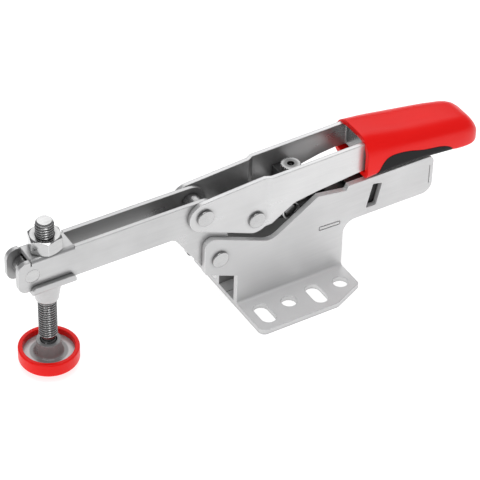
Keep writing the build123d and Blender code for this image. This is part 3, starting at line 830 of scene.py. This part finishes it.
bpy.ops.object.mode_set(mode="OBJECT")
shank = turned_core(
    "screw_shank",
    screw_axis,
    [
        (shank_end_radius, screw_low.z + skin_gap),
        (shank_radius, shank_full),
        (shank_radius, shank_top),
    ],
)
screw_thread = helical_thread(
    "screw_thread", screw_axis, screw_thread_low, knob_low, crest_radius, screw_pitch, screw_depth
)
knurled_screw = joined("knurled_screw", [knob, shank, screw_thread])
settle(knurled_screw, screw_zinc, "screw", smooth=30)
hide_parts("adjusting_screw")

# ================================================================ moulded grip cover
# distance behind the mouth, underside, top and half width, in millimetres
cover_sections = [
    (0.0, 49.0, 69.0, 13.1),
    (4.5, 49.4, 68.4, 13.1),
    (9.0, 50.4, 67.6, 13.2),
    (13.5, 50.7, 66.8, 13.2),
    (20.0, 50.5, 65.6, 13.1),
    (26.5, 50.1, 64.5, 13.0),
    (32.5, 49.4, 63.6, 12.8),
    (38.5, 48.6, 62.7, 12.6),
    (43.5, 47.8, 61.9, 12.4),
    (47.5, 46.8, 61.1, 12.2),
    (51.0, 46.3, 60.5, 12.0),
    (54.0, 46.0, 59.6, 11.6),
    (56.4, 45.8, 58.4, 11.0),
    (58.3, 45.8, 56.8, 10.1),
    (59.7, 46.1, 54.9, 9.0),
    (60.5, 46.6, 52.9, 7.6),
    (61.0, 47.3, 50.8, 5.8),
]
cover_skin = 0.12  # how far the cover stays under the insert, in millimetres
top_radius = 8.6 * MM
low_radius = 2.6 * MM
low_corner_share = 0.49  # of the mouth's height, from its middle down to just above the low corners
mouth_depth = 5.7 * MM
mouth_wall = 2.3 * MM
mouth_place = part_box("grip_shell")[0].x


def cover_ring(section):
    """Place, middle height, width and height of one ring of the cover, in metres."""
    back, under, over, half = section
    width = 2 * (half - cover_skin)
    height = over - under - 2 * cover_skin
    return mouth_place + back * MM, (over + under) / 2 * MM, width * MM, height * MM


ring_place, ring_middle, ring_width, ring_height = cover_ring(cover_sections[0])
bpy.ops.mesh.primitive_plane_add(size=1.0, location=(ring_place, 0, ring_middle), rotation=(0, -pi / 2, 0))
cover = bpy.context.active_object
cover.scale = (ring_height, ring_width, 1)
bpy.ops.object.transform_apply(location=True, rotation=True, scale=True)
edit(cover, lambda vertex: vertex.co.z > ring_middle, "VERT")
bpy.ops.mesh.bevel(offset=top_radius, segments=10, affect="VERTICES")
edit(cover, lambda vertex: vertex.co.z < ring_middle - ring_height * low_corner_share, "VERT")
bpy.ops.mesh.bevel(offset=low_radius, segments=4, affect="VERTICES")
edit(cover, every)
for section in cover_sections[1:]:
    next_place, next_middle, next_width, next_height = cover_ring(section)
    step = (next_place - ring_place, 0, next_middle - ring_middle)
    bpy.ops.mesh.extrude_region_move(TRANSFORM_OT_translate={"value": step})
    growth = (1, next_width / ring_width, next_height / ring_height)
    bpy.ops.transform.resize(value=growth, center_override=(next_place, 0, next_middle))
    ring_place, ring_middle, ring_width, ring_height = next_place, next_middle, next_width, next_height
edit(cover, every)
bpy.ops.mesh.normals_make_consistent(inside=False)
edit(cover, lambda face: face.normal.x < -0.99 and face.center.x < mouth_place + 0.1 * MM)
bpy.ops.mesh.inset(thickness=mouth_wall)
bpy.ops.mesh.extrude_region_move(TRANSFORM_OT_translate={"value": (mouth_depth, 0, 0)})
edit(cover, every)
bpy.ops.mesh.normals_make_consistent(inside=False)
bpy.ops.object.mode_set(mode="OBJECT")
cover.name = "grip_cover"
settle(cover, grip_red, "handle", smooth=35)
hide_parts("grip_shell")

# ================================================================ floor, light and camera
bpy.ops.mesh.primitive_plane_add(size=8.0, location=(0, 0, 0))
floor = bpy.context.active_object
floor.name = "floor"
floor_finish, _, floor_shader = start_material("pale_floor")
floor.data.materials.append(floor_finish)
floor_shader.inputs["Base Color"].default_value = (0.5, 0.5, 0.5, 1)
floor_shader.inputs["Roughness"].default_value = 0.95
floor_shader.inputs["Specular IOR Level"].default_value = 0.0
floor_shader.inputs["Emission Color"].default_value = (1, 1, 1, 1)
floor_shader.inputs["Emission Strength"].default_value = 0.75

world = bpy.data.worlds.new("studio")
bpy.context.scene.world = world
world.use_nodes = True
sky = world.node_tree
backdrop = sky.nodes["Background"]
ray = sky.nodes.new("ShaderNodeLightPath")
dim_air = blend_colours(sky, ray.outputs["Is Glossy Ray"], (0.6, 0.6, 0.61, 1), (0.2, 0.2, 0.205, 1))
air = blend_colours(sky, ray.outputs["Is Camera Ray"], dim_air, (1.0, 1.0, 1.0, 1))
sky.links.new(air, backdrop.inputs["Color"])
bpy.context.scene.view_settings.view_transform = "Standard"


def softbox(name, place, target, width, height, power):
    """Rectangular area light that faces a point of the clamp."""
    data = bpy.data.lights.new(name, "AREA")
    data.shape = "RECTANGLE"
    data.size = width
    data.size_y = height
    data.energy = power
    lamp = bpy.data.objects.new(name, data)
    bpy.context.scene.collection.objects.link(lamp)
    lamp.location = place
    lamp.rotation_euler = (Vector(target) - Vector(place)).to_track_quat("-Z", "Y").to_euler()


softbox("rear_box", (0.59, 0.88, 0.89), (0, 0, 0), width=1.3, height=0.8, power=4.2)
softbox("top_box", (-0.2, -0.1, 1.3), (0, 0, 0), width=0.9, height=0.6, power=4.5)
softbox("left_box", (-1.2, -0.5, 0.5), (0, 0, 0.03), width=0.5, height=0.6, power=1.6)

camera_place = Vector((-0.4510, -0.6804, 0.6874))
camera_right = Vector((0.85820, -0.51284, 0.02225))
camera_up = Vector((0.31092, 0.55382, 0.77241))
camera_data = bpy.data.cameras.new("camera")
camera_data.lens = 182.1
camera_data.sensor_width = 36.0
camera_data.clip_start = 0.05
camera_data.clip_end = 20.0
camera = bpy.data.objects.new("camera", camera_data)
bpy.context.scene.collection.objects.link(camera)
facing = Matrix((camera_right, camera_up, camera_right.cross(camera_up))).transposed()
camera.matrix_world = Matrix.Translation(camera_place) @ facing.to_4x4()
bpy.context.scene.camera = camera
